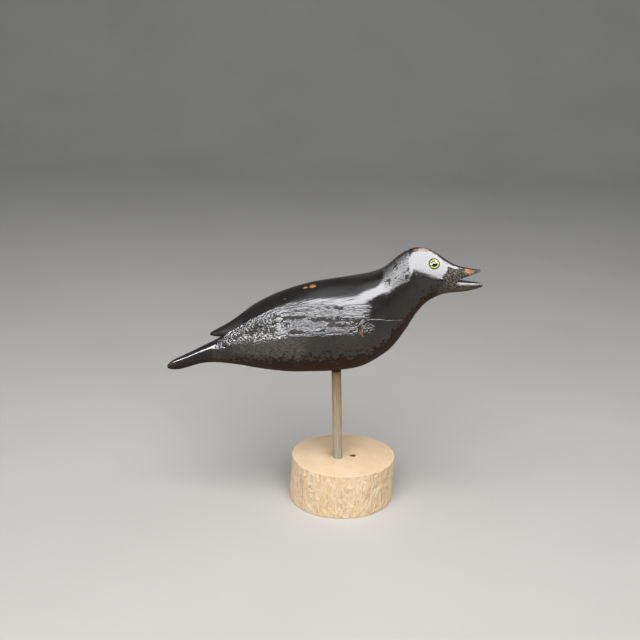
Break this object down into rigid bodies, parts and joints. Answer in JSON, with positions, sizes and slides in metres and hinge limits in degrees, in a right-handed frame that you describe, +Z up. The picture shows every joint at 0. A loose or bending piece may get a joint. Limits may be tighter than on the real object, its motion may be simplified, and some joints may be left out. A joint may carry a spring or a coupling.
{
  "type": "crow decoy",
  "caption": "Carved and painted wooden crow with an open beak and glass eyes, on a dowel that stands in a slice of log.",
  "frame": {"origin": "centre of the underside of the log slice, on the surface that the decoy stands on", "axes": "+X towards the crow's beak, +Z up, +Y towards the crow's left side"},
  "size_m": [0.3531, 0.117, 0.3106],
  "materials": {
    "crow_paint": "black gloss paint brushed over carved wood, worn through to bare wood in spots",
    "eye_glass": "clear glass dome over a yellow-green iris and a black pupil",
    "dowel_wood": "weathered hardwood, unpainted",
    "log_wood": "dry sawn log with its rough bark side, unfinished"
  },
  "bodies": {
    "root": {"crow_body": "crow_paint", "eye_right": "eye_glass", "eye_left": "eye_glass", "dowel_post": "dowel_wood", "log_base": "log_wood"}
  },
  "joints": []
}
